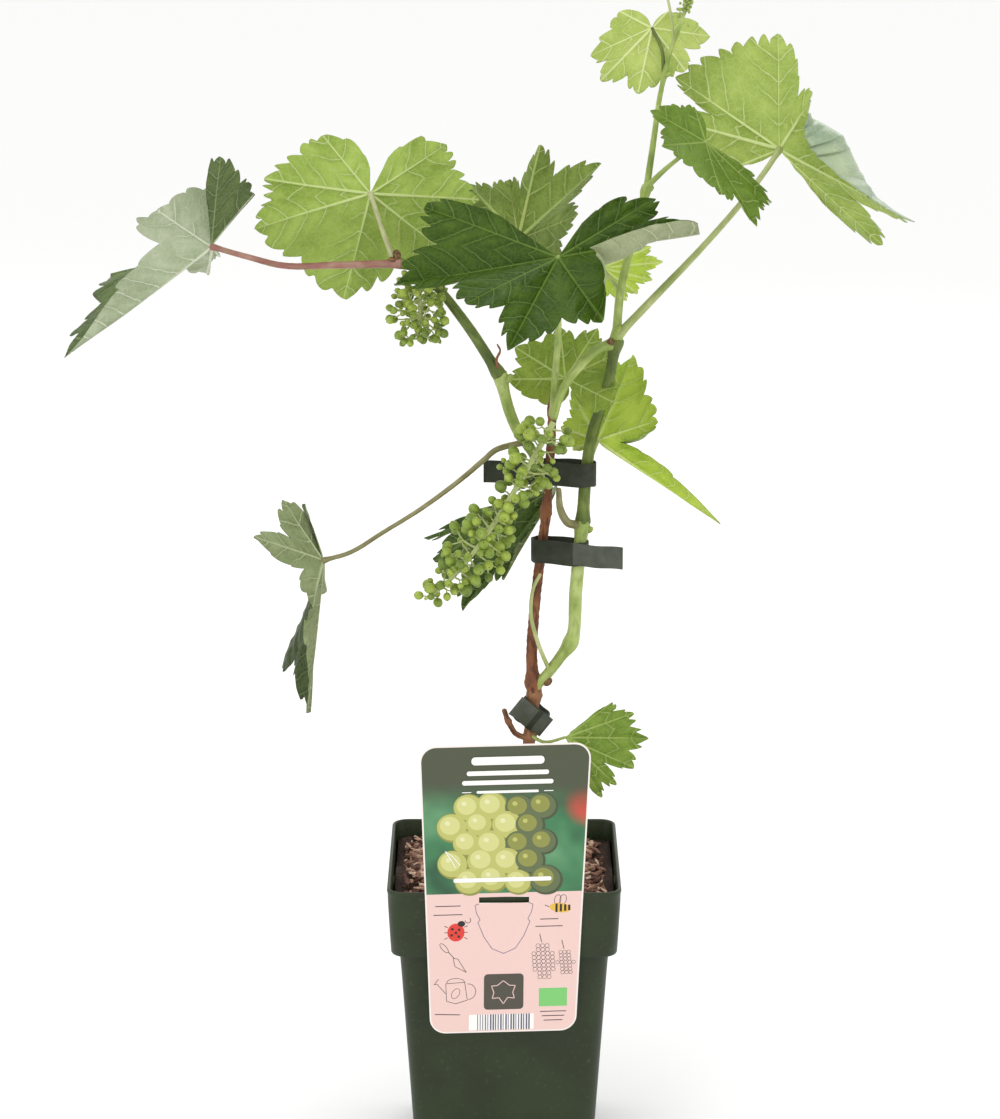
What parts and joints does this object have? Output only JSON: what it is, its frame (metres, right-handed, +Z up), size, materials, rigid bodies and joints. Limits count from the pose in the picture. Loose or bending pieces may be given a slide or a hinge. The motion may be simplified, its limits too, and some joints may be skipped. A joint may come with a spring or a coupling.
{
  "type": "potted grapevine",
  "caption": "Young grapevine in a square nursery pot: woody cane, green shoots, lobed leaves on long stalks, unripe berry bunches, tape ties and a hanging card.",
  "frame": {"origin": "centre of the pot's flat underside, which stands on the floor", "axes": "+Z up, +X towards the side that the tall shoot leans to, -Y towards the side with the hanging card"},
  "size_m": [0.4614, 0.1556, 0.6763],
  "materials": {
    "pot": "dark green moulded plastic, slightly worn satin",
    "potting_soil": "damp peat under bark chips",
    "card": "printed plastic card, satin",
    "tape": "dull dark grey-green tape",
    "bark": "smooth reddish brown cane bark with fine ridges",
    "green_stem": "young green stem, slightly waxy",
    "red_stalk": "young stalk flushed red on top",
    "leaf_top": "dark green upper face, satin, quilted between veins",
    "leaf_underside": "pale grey-green lower face, dull, raised veins",
    "leaf_young": "bright yellow-green young leaf, translucent looking",
    "berries": "hard unripe green berries with a faint bloom"
  },
  "bodies": {
    "root": {"berry_bunch_main": "berries", "berry_bunch_small": "berries", "brown_cane": "bark", "bunch_stalk": "green_stem", "card": "card", "green_shoot_lower": "green_stem", "green_shoot_middle": "green_stem", "green_shoot_upper": "green_stem", "leaf_10_right": "leaf_young", "leaf_11_behind_bunch": "leaf_top", "leaf_12_hanging": "leaf_underside", "leaf_13_low_young": "leaf_young", "leaf_1_far_left": "leaf_underside", "leaf_2_broad_left": "leaf_young", "leaf_3_behind": "leaf_top", "leaf_4_front": "leaf_top", "leaf_5_small": "leaf_young", "leaf_6_top": "leaf_young", "leaf_7_far_right": "leaf_underside", "leaf_8_folded": "leaf_top", "leaf_9_centre": "leaf_underside", "left_shoot_lower": "green_stem", "left_shoot_upper": "green_stem", "pot": "pot", "pruned_stub": "bark", "shoot_tip": "green_stem", "soil": "potting_soil", "stalk_leaf_1": "red_stalk", "stalk_leaf_10": "green_stem", "stalk_leaf_11": "green_stem", "stalk_leaf_12": "green_stem", "stalk_leaf_13": "green_stem", "stalk_leaf_2": "green_stem", "stalk_leaf_3": "green_stem", "stalk_leaf_4": "green_stem", "stalk_leaf_5": "green_stem", "stalk_leaf_6": "green_stem", "stalk_leaf_7": "green_stem", "stalk_leaf_8": "green_stem", "stalk_leaf_9": "green_stem", "tendril_lower": "green_stem", "tendril_top": "green_stem", "tendril_upper": "green_stem", "tie_lower": "tape", "tie_middle": "tape", "tie_upper": "tape", "trunk": "bark"}
  },
  "joints": []
}
